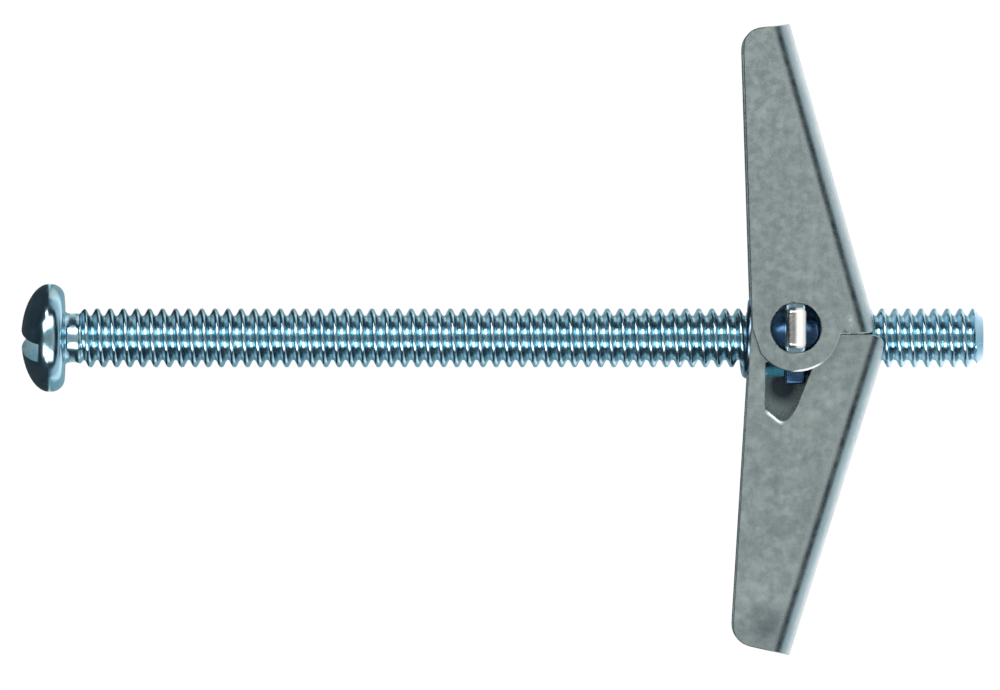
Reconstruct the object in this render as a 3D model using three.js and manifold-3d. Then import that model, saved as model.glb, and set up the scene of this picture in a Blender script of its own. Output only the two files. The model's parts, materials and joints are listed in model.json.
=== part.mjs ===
// Spring-wing toggle bolt: a slotted round-head machine screw, a trunnion nut that
// travels on its thread, two channel-shaped wings that fold about the nut's tabs, and
// the wire spring that throws the wings open.
//
// Millimetres. The origin is on the screw axis, in the plane under the head.
// +X runs along the screw from the head to the tip, the open wings reach along +Y
// and -Y, and the wings fold about an axis along Z.
import * as THREE from 'three';
import { mergeVertices } from 'three/addons/utils/BufferGeometryUtils.js';
import Module from 'manifold-3d';

const wasm = await Module();
wasm.setup();

// Driving dimensions.
const THREAD_PITCH = 25.4 / 24;
const THREAD_MAJOR_RADIUS = 2.38;
const THREAD_MINOR_RADIUS = 1.8;
const THREAD_SEGMENTS = 12;
const SCREW_LENGTH = 74.3;
const NECK_LENGTH = 1.0;
const NECK_RADIUS = 2.0;
const UNDERHEAD_FILLET = 0.45;
const TIP_CHAMFER = 0.6;
const HEAD_RADIUS = 4.38;
const HEAD_HEIGHT = 3.5;
const HEAD_RIM_LENGTH = 1.2;
const HEAD_RIM_DEPTH = 1.0;
const ROUND_SEGMENTS = 36;
const SLOT_WIDTH = 1.5;
const SLOT_DEPTH = 1.6;
const SLOT_TILT = THREE.MathUtils.degToRad(18);

const PIVOT_X = 59.1;
const PIVOT_Y = 0.8;
const SHEET = 0.8;
const HOLE_RADIUS = 2.05;
const INNER_CLEAR = 3.45;
const WING_GAP = 0.3;
const BEND_RADIUS = 2.0;
const SCREW_RELIEF_RADIUS = 3.0;
const ARC_SEGMENTS = 4;

const NUT_THICKNESS = 1.6;
const NUT_HALF_HEIGHT = 3.7;
const NUT_HALF_WIDTH = 3.1;
const TAB_HEIGHT = 3.15;
const TAB_PROUD = 0.35;
const COLLAR_RADIUS = 3.15;
const COLLAR_LENGTH = 1.8;
const TIP_COLLAR_LENGTH = 1.3;
const COLLAR_CHAMFER = 0.3;
const THREAD_CLEARANCE = 0.3;
const BORE_TURNS = 12;
const BORE_LEAD_TURNS = 3;

const WIRE_RADIUS = 0.4;
const COIL_RADIUS = 2.9;
const COIL_BEHIND_PIVOT = 4.15;
const COIL_ADVANCE = 1.0;
const COIL_POINTS = 16;
const LEG_HEIGHT = 13;
const LEG_END_Z = -0.8;
const WIRE_ARC_SEGMENTS = 4;
const WIRE_STEPS = 64;
const WEB_TOUCH_GAP = 0.2;

// How far a cutting body runs past what it cuts, and how near two points weld into one.
const CUT_MARGIN = 1;
const WELD_DISTANCE = 1e-4;

// The channel each wing is cut from, and the round clearance for the screw in its web.
const STOCK_REACH = 15;
const STOCK_LENGTH = 80;
const RELIEF_LENGTH = 40;
const RELIEF_SEGMENTS = 24;

// Each wing is drawn open, beside its pivot: x away from the head, y out to the tip.
const UPPER_WING = {
  innerFace: INNER_CLEAR + SHEET + WING_GAP,
  edgeDistance: 3.55,
  edgeLean: THREE.MathUtils.degToRad(1.8),
  webDistance: 6.2,
  webLean: THREE.MathUtils.degToRad(15.8),
  tipHeight: 24.45,
  tipSlope: THREE.MathUtils.degToRad(5.5),
  webEnd: -0.33,
  endRound: 0.4,
  earRadius: 3.53,
};
const LOWER_WING = {
  innerFace: INNER_CLEAR,
  edgeDistance: 3.6,
  edgeLean: THREE.MathUtils.degToRad(3.5),
  webDistance: 7.42,
  webLean: THREE.MathUtils.degToRad(17.4),
  tipHeight: 26.4,
  tipSlope: THREE.MathUtils.degToRad(12.5),
  webEnd: 0.63,
  endRound: 1.2,
  earRadius: 3.3,
};
const CORNER_ROUND = 1.7;
const EAR_START = THREE.MathUtils.degToRad(215);

// The window's corners from the pivot, [x, y]: a straight top under the ear, a slanted
// side, and a foot rounded between its first and last points about the middle one.
const WINDOW_TOP = [[-2.45, 2.75], [1.5, 2.75]];
const WINDOW_FOOT = [[0.1, 6.2], [-0.4, 7.4], [-1.15, 7.55]];
const WINDOW_CORNER = [-2.5, 6.5];

// Where each spring leg bends, [x from the coil, y, depth as a share of the coil radius].
const UPPER_LEG_BENDS = [[3.2, 8.0, 0.7], [1.1, 3.0, 1]];
const LOWER_LEG_BENDS = [[1.15, -3.0, 1], [1.9, -7.2, 0.8]];

// Materials.
const zinc = (colour, roughness) =>
  new THREE.MeshStandardMaterial({ color: colour, roughness, metalness: 1 });
const screwZinc = zinc(0x8fb0bf, 0.22);
const nutZinc = zinc(0xc9c7b4, 0.32);
const wingZinc = zinc(0x87928f, 0.42);
const springSteel = zinc(0x4d6f86, 0.3);

// Solids and back to geometry.
function toSolid(geometry) {
  geometry.deleteAttribute('normal');
  geometry.deleteAttribute('uv');
  const merged = mergeVertices(geometry, WELD_DISTANCE);
  return new wasm.Manifold(new wasm.Mesh({
    numProp: 3,
    vertProperties: new Float32Array(merged.attributes.position.array),
    triVerts: new Uint32Array(merged.index.array),
  }));
}

function toGeometry(solid) {
  const mesh = solid.getMesh();
  const geometry = new THREE.BufferGeometry();
  geometry.setAttribute('position', new THREE.BufferAttribute(mesh.vertProperties, 3));
  geometry.setIndex(new THREE.BufferAttribute(mesh.triVerts, 1));
  geometry.computeVertexNormals();
  return geometry;
}

function box(x0, x1, y0, y1, z0, z1) {
  const geometry = new THREE.BoxGeometry(x1 - x0, y1 - y0, z1 - z0);
  geometry.translate((x0 + x1) / 2, (y0 + y1) / 2, (z0 + z1) / 2);
  return toSolid(geometry);
}

// A body turned about the screw axis, from [x, radius] points that start and end on it.
function turned(profile, segments) {
  const points = profile.map(([x, radius]) => new THREE.Vector2(radius, x));
  const geometry = new THREE.LatheGeometry(points, segments);
  geometry.rotateZ(-Math.PI / 2);
  return toSolid(geometry);
}

// A rod with a right-hand V thread, as one helical ribbon from the axis out.
// Two rods with the same start are in step along their whole length.
function threadedRod(start, turns, minorRadius, majorRadius) {
  const count = turns * THREAD_SEGMENTS;
  const positions = [];
  const triangles = [];
  const place = (station, radius, shift) => {
    const angle = (station / THREAD_SEGMENTS) * 2 * Math.PI;
    const x = start + (station / THREAD_SEGMENTS + shift) * THREAD_PITCH;
    positions.push(x, radius * Math.cos(angle), radius * Math.sin(angle));
  };
  for (let k = 0; k <= count + THREAD_SEGMENTS; k += 1) {
    place(k, minorRadius, 0);
  }
  const firstCrest = positions.length / 3;
  for (let k = 0; k <= count; k += 1) {
    place(k, majorRadius, 0.5);
  }
  const root = (k) => k;
  const crest = (k) => firstCrest + k;
  for (let k = 0; k < count; k += 1) {
    const far = k + THREAD_SEGMENTS;
    triangles.push(root(k), root(k + 1), crest(k), root(k + 1), crest(k + 1), crest(k));
    triangles.push(crest(k), crest(k + 1), root(far), crest(k + 1), root(far + 1), root(far));
  }
  const cap = (x, first, outward) => {
    const centre = positions.length / 3;
    positions.push(x, 0, 0);
    const rim = [];
    for (let k = first; k <= first + THREAD_SEGMENTS; k += 1) {
      rim.push(root(k));
    }
    rim.push(crest(first));
    rim.forEach((vertex, i) => {
      const next = rim[(i + 1) % rim.length];
      triangles.push(...(outward ? [centre, vertex, next] : [centre, next, vertex]));
    });
  };
  cap(start - THREAD_PITCH, 0, false);
  cap(start + (turns + 2) * THREAD_PITCH, count, true);
  const geometry = new THREE.BufferGeometry();
  geometry.setAttribute('position', new THREE.Float32BufferAttribute(positions, 3));
  geometry.setIndex(triangles);
  return toSolid(geometry);
}

// Screw: head, short plain neck and thread, with a driver slot across the head.
function machineScrew() {
  const turns = Math.ceil(SCREW_LENGTH / THREAD_PITCH) + 2;
  const rod = threadedRod(-THREAD_PITCH, turns, THREAD_MINOR_RADIUS, THREAD_MAJOR_RADIUS);
  const outer = THREAD_MAJOR_RADIUS + CUT_MARGIN;
  const envelope = turned([
    [NECK_LENGTH / 2, 0],
    [NECK_LENGTH / 2, NECK_RADIUS],
    [NECK_LENGTH, NECK_RADIUS],
    [NECK_LENGTH + outer - NECK_RADIUS, outer],
    [SCREW_LENGTH - TIP_CHAMFER - CUT_MARGIN, outer],
    [SCREW_LENGTH, THREAD_MAJOR_RADIUS - TIP_CHAMFER],
    [SCREW_LENGTH, 0],
  ], ROUND_SEGMENTS);
  const body = turned([
    ...headProfile(),
    [0, NECK_RADIUS + UNDERHEAD_FILLET],
    [UNDERHEAD_FILLET / 3, NECK_RADIUS + UNDERHEAD_FILLET / 3],
    [UNDERHEAD_FILLET, NECK_RADIUS],
    [NECK_LENGTH, NECK_RADIUS],
    [NECK_LENGTH, 0],
  ], ROUND_SEGMENTS);
  const slot = new THREE.BoxGeometry(SLOT_DEPTH + CUT_MARGIN, SLOT_WIDTH, 4 * HEAD_RADIUS);
  slot.translate(-HEAD_HEIGHT + (SLOT_DEPTH - CUT_MARGIN) / 2, 0, 0);
  slot.rotateX(SLOT_TILT);
  return rod.intersect(envelope).add(body).subtract(toSolid(slot));
}

// Half an ellipse for the dome, then a smaller one for the rim, round to the bearing face.
function headProfile() {
  const domeSteps = 10;
  const rimSteps = 4;
  const domeHeight = HEAD_HEIGHT - HEAD_RIM_LENGTH;
  const points = [];
  for (let i = 0; i <= domeSteps; i += 1) {
    const angle = (i / domeSteps) * (Math.PI / 2);
    points.push([-HEAD_RIM_LENGTH - domeHeight * Math.cos(angle), HEAD_RADIUS * Math.sin(angle)]);
  }
  for (let i = 1; i <= rimSteps; i += 1) {
    const angle = (i / rimSteps) * (Math.PI / 2);
    points.push([
      -HEAD_RIM_LENGTH * (1 - Math.sin(angle)),
      HEAD_RADIUS - HEAD_RIM_DEPTH * (1 - Math.cos(angle)),
    ]);
  }
  return points;
}

// Trunnion nut: a stamped plate with a threaded collar on each side, and two tabs.
function trunnionNut() {
  const half = NUT_THICKNESS / 2;
  const tabReach = UPPER_WING.innerFace + SHEET + TAB_PROUD;
  const plate = box(PIVOT_X - half, PIVOT_X + half, -NUT_HALF_HEIGHT, NUT_HALF_HEIGHT,
    -NUT_HALF_WIDTH, NUT_HALF_WIDTH);
  const tabs = box(PIVOT_X - half, PIVOT_X + half, PIVOT_Y - TAB_HEIGHT / 2,
    PIVOT_Y + TAB_HEIGHT / 2, -tabReach, tabReach);
  const collarStart = PIVOT_X - half - COLLAR_LENGTH;
  const collarEnd = PIVOT_X + half + TIP_COLLAR_LENGTH;
  const collar = turned([
    [collarStart, 0],
    [collarStart, COLLAR_RADIUS - COLLAR_CHAMFER],
    [collarStart + COLLAR_CHAMFER, COLLAR_RADIUS],
    [collarEnd - COLLAR_CHAMFER, COLLAR_RADIUS],
    [collarEnd, COLLAR_RADIUS - COLLAR_CHAMFER],
    [collarEnd, 0],
  ], ROUND_SEGMENTS);
  const firstTurn = Math.floor(collarStart / THREAD_PITCH) - BORE_LEAD_TURNS;
  const bore = threadedRod(firstTurn * THREAD_PITCH, BORE_TURNS,
    THREAD_MINOR_RADIUS + THREAD_CLEARANCE, THREAD_MAJOR_RADIUS + THREAD_CLEARANCE);
  return plate.add(tabs).add(collar).subtract(bore);
}

// Outline of one flange: free edge, rounded tip corner, end cut, web line, rounded web end, ear.
function flangeOutline(wing) {
  const edgeX = (y) => (-wing.edgeDistance - y * Math.sin(wing.edgeLean)) / Math.cos(wing.edgeLean);
  const webX = (y) => (wing.webDistance - y * Math.sin(wing.webLean)) / Math.cos(wing.webLean);
  const tipWeb = new THREE.Vector2(webX(wing.tipHeight), wing.tipHeight);
  const tipEdgeX = edgeX(wing.tipHeight);
  const tipEdgeY = wing.tipHeight - (tipWeb.x - tipEdgeX) * Math.tan(wing.tipSlope);
  const cutX = tipEdgeX + CORNER_ROUND * Math.cos(wing.tipSlope);
  const cutY = tipEdgeY + CORNER_ROUND * Math.sin(wing.tipSlope);
  const earX = Math.sqrt(wing.earRadius ** 2 - wing.webEnd ** 2);
  const earEnd = Math.atan2(wing.webEnd, earX);
  const shape = new THREE.Shape();
  shape.moveTo(edgeX(0), 0);
  shape.lineTo(edgeX(tipEdgeY - CORNER_ROUND), tipEdgeY - CORNER_ROUND);
  shape.quadraticCurveTo(tipEdgeX, tipEdgeY, cutX, cutY);
  shape.lineTo(tipWeb.x, tipWeb.y);
  const webEndX = webX(wing.webEnd);
  shape.lineTo(webX(wing.webEnd + wing.endRound), wing.webEnd + wing.endRound);
  shape.quadraticCurveTo(webEndX, wing.webEnd, webEndX - wing.endRound, wing.webEnd);
  shape.lineTo(earX, wing.webEnd);
  shape.absarc(0, 0, wing.earRadius, earEnd, EAR_START - 2 * Math.PI, true);
  shape.lineTo(edgeX(0), 0);
  return shape;
}

// The channel's section: two flanges and a web, with rounded bends, open toward the head.
function channelSection(wing) {
  const outer = wing.innerFace + SHEET;
  const inner = wing.innerFace;
  const web = wing.webDistance;
  const insideBend = BEND_RADIUS - SHEET;
  const shape = new THREE.Shape();
  shape.moveTo(outer, -STOCK_REACH);
  shape.lineTo(outer, web - BEND_RADIUS);
  shape.absarc(outer - BEND_RADIUS, web - BEND_RADIUS, BEND_RADIUS, 0, Math.PI / 2, false);
  shape.lineTo(BEND_RADIUS - outer, web);
  shape.absarc(BEND_RADIUS - outer, web - BEND_RADIUS, BEND_RADIUS, Math.PI / 2, Math.PI, false);
  shape.lineTo(-outer, -STOCK_REACH);
  shape.lineTo(-inner, -STOCK_REACH);
  shape.lineTo(-inner, web - BEND_RADIUS);
  shape.absarc(BEND_RADIUS - outer, web - BEND_RADIUS, insideBend, Math.PI, Math.PI / 2, true);
  shape.lineTo(outer - BEND_RADIUS, web - SHEET);
  shape.absarc(outer - BEND_RADIUS, web - BEND_RADIUS, insideBend, Math.PI / 2, 0, true);
  shape.lineTo(inner, -STOCK_REACH);
  return shape;
}

// The window beside the pivot hole in the inner wing's near flange.
function windowShape() {
  const [topNear, topFar] = WINDOW_TOP;
  const [footStart, footMiddle, footEnd] = WINDOW_FOOT;
  const shape = new THREE.Shape();
  shape.moveTo(...topNear);
  shape.lineTo(...topFar);
  shape.lineTo(...footStart);
  shape.quadraticCurveTo(...footMiddle, ...footEnd);
  shape.lineTo(...WINDOW_CORNER);
  return shape;
}

function extruded(shape, halfWidth, curveSegments) {
  const depth = 2 * halfWidth;
  const geometry = new THREE.ExtrudeGeometry(shape, { depth, bevelEnabled: false, curveSegments });
  geometry.translate(0, 0, -halfWidth);
  return geometry;
}

// One wing, open, about its own pivot; screwY is where the screw axis passes it.
// A wing that is turned over to fold the other way has its near flange at -Z here.
function wingSolid(wing, screwY, cutWindow) {
  const through = wing.innerFace + SHEET + CUT_MARGIN;
  const channel = extruded(channelSection(wing), STOCK_LENGTH / 2, ARC_SEGMENTS);
  const across = new THREE.Vector3(0, 0, 1);
  const toWeb = new THREE.Vector3(Math.cos(wing.webLean), Math.sin(wing.webLean), 0);
  const along = new THREE.Vector3().crossVectors(across, toWeb);
  channel.applyMatrix4(new THREE.Matrix4().makeBasis(across, toWeb, along));
  const flange = toSolid(extruded(flangeOutline(wing), through, 2 * ARC_SEGMENTS));
  const hole = new THREE.CylinderGeometry(HOLE_RADIUS, HOLE_RADIUS, 2 * through, ROUND_SEGMENTS);
  hole.rotateX(Math.PI / 2);
  const relief = new THREE.CylinderGeometry(SCREW_RELIEF_RADIUS, SCREW_RELIEF_RADIUS,
    RELIEF_LENGTH, RELIEF_SEGMENTS);
  relief.rotateZ(Math.PI / 2);
  relief.translate(wing.webDistance, screwY, 0);
  let solid = toSolid(channel).intersect(flange).subtract(toSolid(hole));
  solid = solid.subtract(toSolid(relief));
  if (cutWindow) {
    const opening = extruded(windowShape(), through / 2, ARC_SEGMENTS);
    opening.translate(0, 0, -through / 2 - SHEET);
    solid = solid.subtract(toSolid(opening));
  }
  return solid;
}

// Where the wire's end rests inside a web, at the leg's height out from the pivot.
function legEnd(wing, side) {
  const distance = wing.webDistance - SHEET - WEB_TOUCH_GAP - WIRE_RADIUS;
  const x = (distance - LEG_HEIGHT * Math.sin(wing.webLean)) / Math.cos(wing.webLean);
  return new THREE.Vector3(PIVOT_X + x, PIVOT_Y + side * LEG_HEIGHT, LEG_END_Z);
}

// Spring: one turn of wire round the screw, with a leg out to each wing's web.
// The coil starts and ends on the far side, and its advance keeps the two legs apart.
function wingSpring() {
  const coilX = PIVOT_X - COIL_BEHIND_PIVOT;
  const bend = ([x, y, depth]) => new THREE.Vector3(coilX + x, y, -depth * COIL_RADIUS);
  const points = [legEnd(UPPER_WING, 1), ...UPPER_LEG_BENDS.map(bend)];
  for (let i = 0; i <= COIL_POINTS; i += 1) {
    const turn = i / COIL_POINTS;
    const angle = turn * 2 * Math.PI;
    points.push(new THREE.Vector3(
      coilX + turn * COIL_ADVANCE,
      -COIL_RADIUS * Math.sin(angle),
      -COIL_RADIUS * Math.cos(angle),
    ));
  }
  points.push(...LOWER_LEG_BENDS.map(bend), legEnd(LOWER_WING, -1));
  const path = new THREE.CatmullRomCurve3(points, false, 'centripetal');
  const section = new THREE.Shape();
  section.absarc(0, 0, WIRE_RADIUS, 0, 2 * Math.PI, false);
  return new THREE.ExtrudeGeometry(section, {
    steps: WIRE_STEPS,
    curveSegments: WIRE_ARC_SEGMENTS,
    extrudePath: path,
  });
}

function named(name, geometry, material) {
  const mesh = new THREE.Mesh(geometry, material);
  mesh.name = name;
  return mesh;
}

const toggle = new THREE.Group();
toggle.add(named('machine_screw', toGeometry(machineScrew()), screwZinc));
toggle.add(named('trunnion_nut', toGeometry(trunnionNut()), nutZinc));
toggle.add(named('wing_spring', wingSpring(), springSteel));

const upperWing = named('outer_wing', toGeometry(wingSolid(UPPER_WING, -PIVOT_Y, false)), wingZinc);
upperWing.position.set(PIVOT_X, PIVOT_Y, 0);
toggle.add(upperWing);

const lowerWing = named('inner_wing', toGeometry(wingSolid(LOWER_WING, PIVOT_Y, true)), wingZinc);
lowerWing.rotation.x = Math.PI;
lowerWing.position.set(PIVOT_X, PIVOT_Y, 0);
toggle.add(lowerWing);

export default toggle;
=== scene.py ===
"""Spring-wing toggle bolt, lying on its side and seen from straight above.

Sizes are in millimetres, in the frame of the CAD model, and become metres when a mesh is done.
+X runs along the screw from head to tip, +Y and -Y out along the open wings, +Z to the camera.
"""
import json
import math

import bmesh
import bpy
from mathutils import Matrix, Vector, geometry


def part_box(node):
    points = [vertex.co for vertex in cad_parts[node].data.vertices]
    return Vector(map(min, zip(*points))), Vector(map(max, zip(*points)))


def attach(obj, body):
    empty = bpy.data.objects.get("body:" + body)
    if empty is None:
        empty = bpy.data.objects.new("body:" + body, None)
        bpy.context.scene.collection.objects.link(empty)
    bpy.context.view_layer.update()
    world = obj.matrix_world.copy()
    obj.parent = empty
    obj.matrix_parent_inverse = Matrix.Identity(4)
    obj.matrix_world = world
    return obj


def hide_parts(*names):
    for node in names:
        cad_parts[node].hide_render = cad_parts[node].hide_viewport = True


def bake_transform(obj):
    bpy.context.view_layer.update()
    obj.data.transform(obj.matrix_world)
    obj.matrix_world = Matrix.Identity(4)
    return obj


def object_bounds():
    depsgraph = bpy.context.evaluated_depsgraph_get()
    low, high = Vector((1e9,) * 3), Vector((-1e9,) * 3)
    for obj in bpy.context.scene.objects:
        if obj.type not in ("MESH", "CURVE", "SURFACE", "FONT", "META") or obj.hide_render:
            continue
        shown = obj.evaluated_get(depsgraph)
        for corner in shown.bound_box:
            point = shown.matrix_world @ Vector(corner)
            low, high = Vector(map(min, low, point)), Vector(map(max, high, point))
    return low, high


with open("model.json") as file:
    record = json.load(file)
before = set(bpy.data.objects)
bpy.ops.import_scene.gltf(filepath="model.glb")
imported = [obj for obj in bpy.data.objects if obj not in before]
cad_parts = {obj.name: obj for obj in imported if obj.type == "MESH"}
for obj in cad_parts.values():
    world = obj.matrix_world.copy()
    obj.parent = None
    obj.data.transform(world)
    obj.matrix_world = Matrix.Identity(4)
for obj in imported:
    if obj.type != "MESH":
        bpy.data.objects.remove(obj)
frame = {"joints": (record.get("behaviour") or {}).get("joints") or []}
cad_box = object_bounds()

MM = 0.001
WELD = 0.002

# Screw
PITCH = 25.4 / 24
MAJOR_RADIUS = 2.38
MINOR_RADIUS = 1.8
SCREW_LENGTH = 74.3
NECK_RADIUS = 1.98
NECK_LENGTH = 0.9
RUN_OUT = 0.9
TIP_RADIUS = 1.62
TIP_CHAMFER = 0.75
HEAD_RADIUS = 4.38
HEAD_HEIGHT = 3.5
RIM_LENGTH = 1.2
RIM_DEPTH = 1.0
SLOT_WIDTH = 1.5
SLOT_DEPTH = 1.6
SLOT_TILT = math.radians(18)
SLOT_ROUND = 0.08
FILLET_RADIUS = 0.4
DOME_STEPS = 24
RIM_STEPS = 12
FILLET_STEPS = 4
ROOT_FLAT = 0.16
CREST_FLAT = 0.2
FLANK_STRAIGHT = 0.6
COLUMNS = 56
ROWS_PER_PITCH = 14

# Wings, as sheet bent on its middle surface
SHEET = 0.8
HOLE_RADIUS = 2.05
INNER_CLEAR = 3.45
WING_GAP = 0.3
BEND_RADIUS = 2.0
MID_BEND = BEND_RADIUS - SHEET / 2
RELIEF_RADIUS = 3.0
CORNER_ROUND = 1.7
EAR_START = math.radians(215) - 2 * math.pi
EDGE_STEP = 0.3
GRID_STEP = 0.5
BEND_ROWS = 12
EDGE_BEVEL = 0.08
SLIVER_AREA = 2e-3
HOLE_POINTS = 48
EAR_STEPS = 36
CORNER_STEPS = 8
WINDOW_STEPS = 6
DENT_DEPTH = 0.36

# The window from the pivot: its four straight corners, and a curve from foot to slanted side.
WINDOW_TOP_NEAR = Vector((-2.45, 2.75))
WINDOW_TOP_FAR = Vector((1.5, 2.75))
WINDOW_LOW = Vector((-2.5, 6.5))
WINDOW_FOOT = [Vector((-1.3, 7.5)), Vector((-0.5, 7.6)), Vector((0.1, 6.2))]

PIVOT = Vector(next(j for j in frame["joints"] if j["name"] == "outer_wing_fold")["pos_m"]) / MM

OUTER_WING = {
    "inner_face": INNER_CLEAR + SHEET + WING_GAP,
    "edge_distance": 3.55,
    "edge_lean": math.radians(1.8),
    "web_distance": 6.2,
    "web_lean": math.radians(15.8),
    "tip_height": 24.45,
    "tip_slope": math.radians(5.5),
    "web_end": -0.46,
    "end_round": 0.4,
    "ear_radius": 3.53,
    "screw_y": -PIVOT.y,
}
INNER_WING = {
    "inner_face": INNER_CLEAR,
    "edge_distance": 3.6,
    "edge_lean": math.radians(3.5),
    "web_distance": 7.42,
    "web_lean": math.radians(17.4),
    "tip_height": 26.4,
    "tip_slope": math.radians(12.5),
    "web_end": 0.5,
    "end_round": 1.2,
    "ear_radius": 3.3,
    "screw_y": PIVOT.y,
}


def smoothstep(t):
    """An eased step from 0 to 1."""
    t = min(max(t, 0.0), 1.0)
    return t * t * (3 - 2 * t)


def stop_corner_dent(x, y):
    """The outer wing's stop corner is pressed in where it meets the other wing."""
    return DENT_DEPTH * smoothstep((x - 3.3) / 1.0) * smoothstep((2.1 - y) / 2.5)


def no_dent(x, y):
    return 0.0


OUTER_WING["dent"] = stop_corner_dent
INNER_WING["dent"] = no_dent

# Nut and spring
NUT_THICKNESS = 1.6
NUT_HALF_HEIGHT = 3.7
NUT_HALF_WIDTH = 3.1
TAB_HEIGHT = 3.3
TAB_ROUND = 0.45
PLATE_ROUND = 0.18
COLLAR_ROUNDING = [(0, 0.35), (0.05, 0.2), (0.2, 0.05), (0.35, 0)]
TAB_PROUD = 0.35
COLLAR_RADIUS = 3.15
COLLAR_LENGTH = 1.8
# The collar on the tip side is a dark piece standing in for shade seen through the pivot hole.
TIP_COLLAR_LENGTH = 1.3
THREAD_CLEARANCE = 0.06
WIRE_RADIUS = 0.4
COIL_RADIUS = 2.9
COIL_X = PIVOT.x - 4.15
COIL_ADVANCE = 1.0
COIL_POINTS = 32
WIRE_STEP = 0.2
LEG_HEIGHT = 13
LEG_END_Z = -0.8
LEG_TOUCH = 0.05
WIRE_SIDES = 16
WIRE_DOME = [(0.92, 0.4), (0.7, 0.72), (0.35, 0.93)]

# Where each leg bends: x from the coil, y, and depth as a share of the coil radius.
OUTER_LEG_BENDS = [(1.1, 3.0, 1), (3.2, 8.0, 0.7)]
INNER_LEG_BENDS = [(1.15, -3.0, 1), (1.9, -7.2, 0.8)]


# ---------------------------------------------------------------- mesh helpers
def new_object(name, verts, faces):
    """A closed piece in millimetres, with its doubled points welded and its faces outward."""
    mesh = bpy.data.meshes.new(name)
    mesh.from_pydata([tuple(v) for v in verts], [], faces)
    bm = bmesh.new()
    bm.from_mesh(mesh)
    bmesh.ops.remove_doubles(bm, verts=bm.verts, dist=WELD)
    bmesh.ops.dissolve_degenerate(bm, dist=WELD / 2, edges=bm.edges)
    bmesh.ops.recalc_face_normals(bm, faces=bm.faces)
    bm.to_mesh(mesh)
    bm.free()
    obj = bpy.data.objects.new(name, mesh)
    bpy.context.scene.collection.objects.link(obj)
    return obj


def apply_modifiers(obj):
    bpy.context.view_layer.update()
    graph = bpy.context.evaluated_depsgraph_get()
    mesh = bpy.data.meshes.new_from_object(obj.evaluated_get(graph))
    obj.modifiers.clear()
    obj.data = mesh


def combine(obj, other, operation):
    """Joins another solid to this one, or cuts it away, and deletes the other."""
    modifier = obj.modifiers.new("boolean", "BOOLEAN")
    modifier.operation = operation
    modifier.solver = "EXACT"
    modifier.object = other
    apply_modifiers(obj)
    bpy.data.objects.remove(other)


def done(obj, material, sharp_degrees):
    """Millimetres to metres, smooth shading with sharp edges kept, and the finish."""
    mesh = obj.data
    mesh.transform(Matrix.Scale(MM, 4))
    mesh.name = obj.name
    mesh.polygons.foreach_set("use_smooth", [True] * len(mesh.polygons))
    mesh.set_sharp_from_angle(angle=math.radians(sharp_degrees))
    mesh.materials.clear()
    mesh.materials.append(material)
    mesh.update()
    return obj


def ring_faces(rows, columns, index):
    """Quads between neighbouring rows of a surface that closes round its columns."""
    return [
        (index(i, j), index(i, j + 1), index(i + 1, j + 1), index(i + 1, j))
        for i in range(rows - 1)
        for j in range(columns)
    ]


def turned(profile):
    """A surface turned about the screw axis, from (x, radius) points."""
    verts = []
    for x, radius in profile:
        for j in range(COLUMNS):
            angle = 2 * math.pi * j / COLUMNS
            verts.append((x, radius * math.cos(angle), radius * math.sin(angle)))
    return verts, ring_faces(len(profile), COLUMNS, lambda i, j: i * COLUMNS + j % COLUMNS)


def bar(name, low, high, rounding, segments=3):
    """A rectangular bar with rounded edges."""
    bm = bmesh.new()
    bmesh.ops.create_cube(bm, size=1)
    size = [b - a for a, b in zip(low, high)]
    middle = [(a + b) / 2 for a, b in zip(low, high)]
    bmesh.ops.scale(bm, vec=size, verts=bm.verts)
    bmesh.ops.translate(bm, vec=middle, verts=bm.verts)
    bmesh.ops.bevel(bm, geom=bm.edges[:], offset=rounding, segments=segments,
                    profile=0.5, affect="EDGES")
    mesh = bpy.data.meshes.new(name)
    bm.to_mesh(mesh)
    bm.free()
    obj = bpy.data.objects.new(name, mesh)
    bpy.context.scene.collection.objects.link(obj)
    return obj


# ---------------------------------------------------------------- screw
def thread_radius(phase, minor, major):
    """Thread form over one pitch: a root flat at phase 0 and a crest flat at phase 0.5."""
    height = 1 - abs(2 * phase - 1)
    t = (height - ROOT_FLAT) / (1 - ROOT_FLAT - CREST_FLAT)
    t = min(max(t, 0.0), 1.0)
    flank = FLANK_STRAIGHT * t + (1 - FLANK_STRAIGHT) * smoothstep(t)
    return minor + (major - minor) * flank


def thread_surface(x_low, x_high, minor, major, envelope):
    """Rows of points that follow the helix, held between two flat ends."""
    first = (math.floor(x_low / PITCH) - 1) * PITCH
    rows = (math.ceil((x_high - first) / PITCH) + 1) * ROWS_PER_PITCH
    verts = []
    for i in range(rows + 1):
        radius = thread_radius(i / ROWS_PER_PITCH % 1, minor, major)
        for j in range(COLUMNS):
            x = first + (i / ROWS_PER_PITCH + j / COLUMNS) * PITCH
            x = min(max(x, x_low), x_high)
            angle = 2 * math.pi * j / COLUMNS
            r = envelope(x, radius)
            verts.append((x, r * math.cos(angle), r * math.sin(angle)))

    def index(i, j):
        if j == COLUMNS:
            return min(i + ROWS_PER_PITCH, rows) * COLUMNS
        return i * COLUMNS + j

    return verts, ring_faces(rows + 1, COLUMNS, index)


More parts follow.
